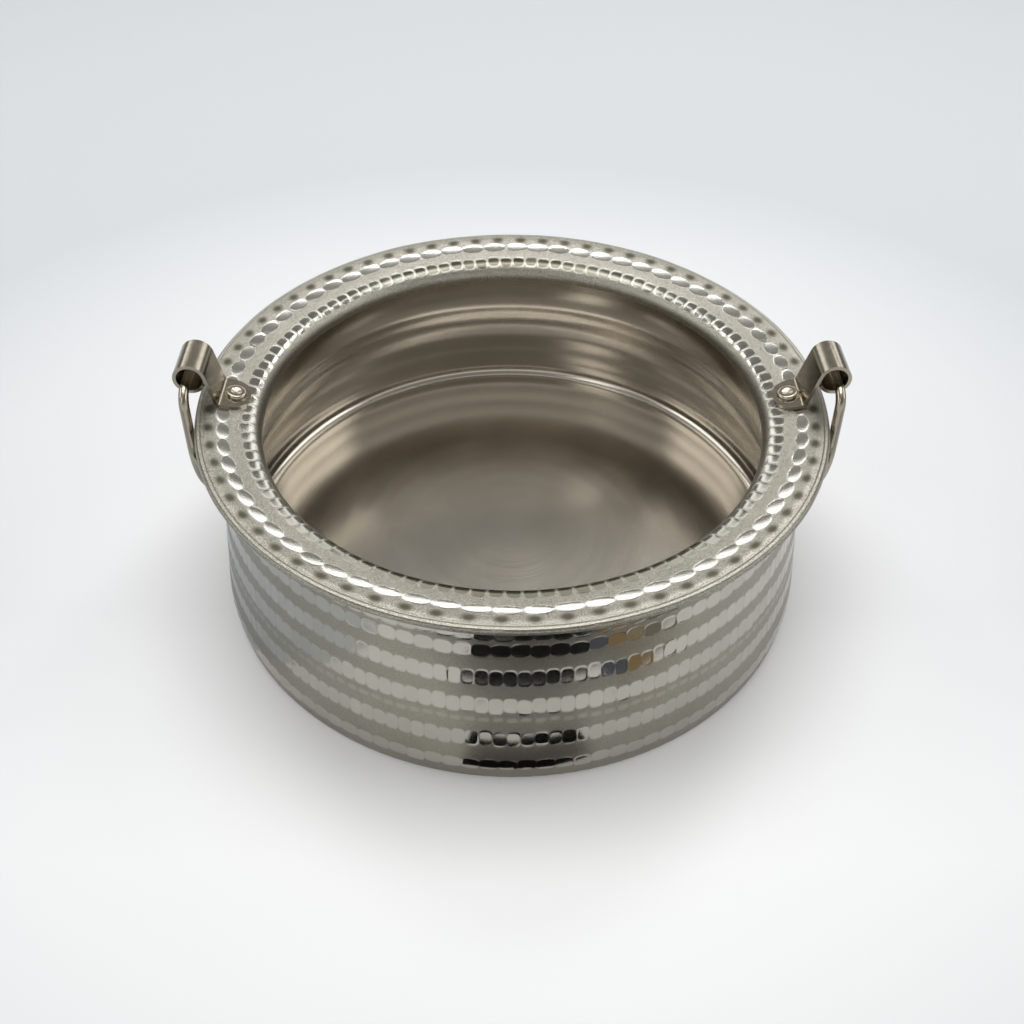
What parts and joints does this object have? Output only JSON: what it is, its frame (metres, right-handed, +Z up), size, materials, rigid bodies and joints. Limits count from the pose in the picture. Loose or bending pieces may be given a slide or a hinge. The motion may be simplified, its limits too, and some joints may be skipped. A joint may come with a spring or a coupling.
{
  "type": "insulated serving casserole",
  "caption": "Round hammered-metal insulated serving casserole: open bowl with a wide flat collar, double wall and a swinging wire bail in a rolled ear on each side.",
  "frame": {"origin": "centre of the base, on the surface it stands on", "axes": "+Z up, the two ears and bails along X, +Y to the back"},
  "size_m": [0.2672, 0.254, 0.1065],
  "materials": {
    "shell_metal": "hammered in rows, mirror facets on a satin ground",
    "collar_metal": "hammered facets in two rings on a satin ground",
    "bowl_metal": "spun satin, faintly rippled",
    "base_metal": "satin",
    "ear_metal": "polished strip",
    "bail_metal": "polished round wire",
    "rivet_metal": "peened",
    "insulation_foam": "rigid foam"
  },
  "bodies": {
    "bowl": {"base_plate": "base_metal", "outer_shell": "shell_metal", "rim_collar": "collar_metal", "inner_bowl": "bowl_metal", "wall_insulation": "insulation_foam", "floor_insulation": "insulation_foam", "left_ear_strap": "ear_metal", "right_ear_strap": "ear_metal", "left_rivet": "rivet_metal", "right_rivet": "rivet_metal"},
    "right_bail": {"right_bail": "bail_metal"},
    "left_bail": {"left_bail": "bail_metal"}
  },
  "joints": [
    {"name": "right_bail_swing", "type": "hinge", "parent": "bowl", "child": "right_bail", "pos_m": [0.12885, 0, 0.09779], "axis": [0, -1, 0], "range_deg": [0, 292]},
    {"name": "left_bail_swing", "type": "hinge", "parent": "bowl", "child": "left_bail", "pos_m": [-0.12885, 0, 0.09779], "axis": [0, 1, 0], "range_deg": [0, 292]}
  ]
}
